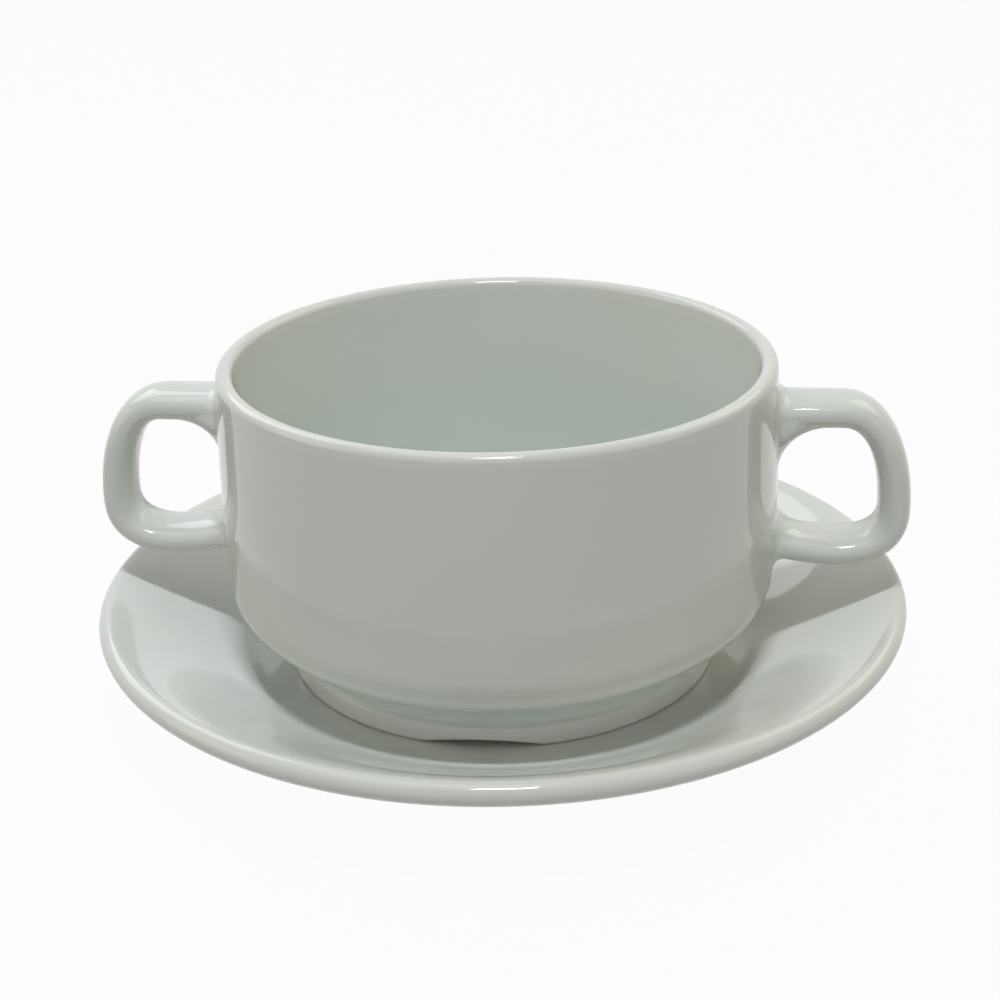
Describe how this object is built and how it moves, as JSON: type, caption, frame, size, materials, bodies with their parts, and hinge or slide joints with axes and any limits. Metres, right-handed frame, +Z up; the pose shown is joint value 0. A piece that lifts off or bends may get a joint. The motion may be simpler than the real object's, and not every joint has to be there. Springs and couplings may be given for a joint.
{
  "type": "soup cup and saucer",
  "caption": "Two-handled stacking soup cup in white glazed porcelain with a drawn-in foot, standing in the well of a round saucer with an upturned border.",
  "frame": {"origin": "middle of the saucer's foot ring, on the surface that it stands on", "axes": "+Z up along the axis that the cup and the saucer are turned about, +X through the right handle, +Y away from the front"},
  "size_m": [0.157, 0.157, 0.067],
  "materials": {
    "glazed_porcelain": "glossy glaze"
  },
  "bodies": {
    "saucer": {"saucer": "glazed_porcelain"},
    "cup": {"cup_body": "glazed_porcelain", "left_handle": "glazed_porcelain", "right_handle": "glazed_porcelain"}
  },
  "joints": [
    {"name": "cup_lift", "type": "slide", "parent": "saucer", "child": "cup", "axis": [0, 0, 1], "range_m": [0, 0.12]}
  ]
}
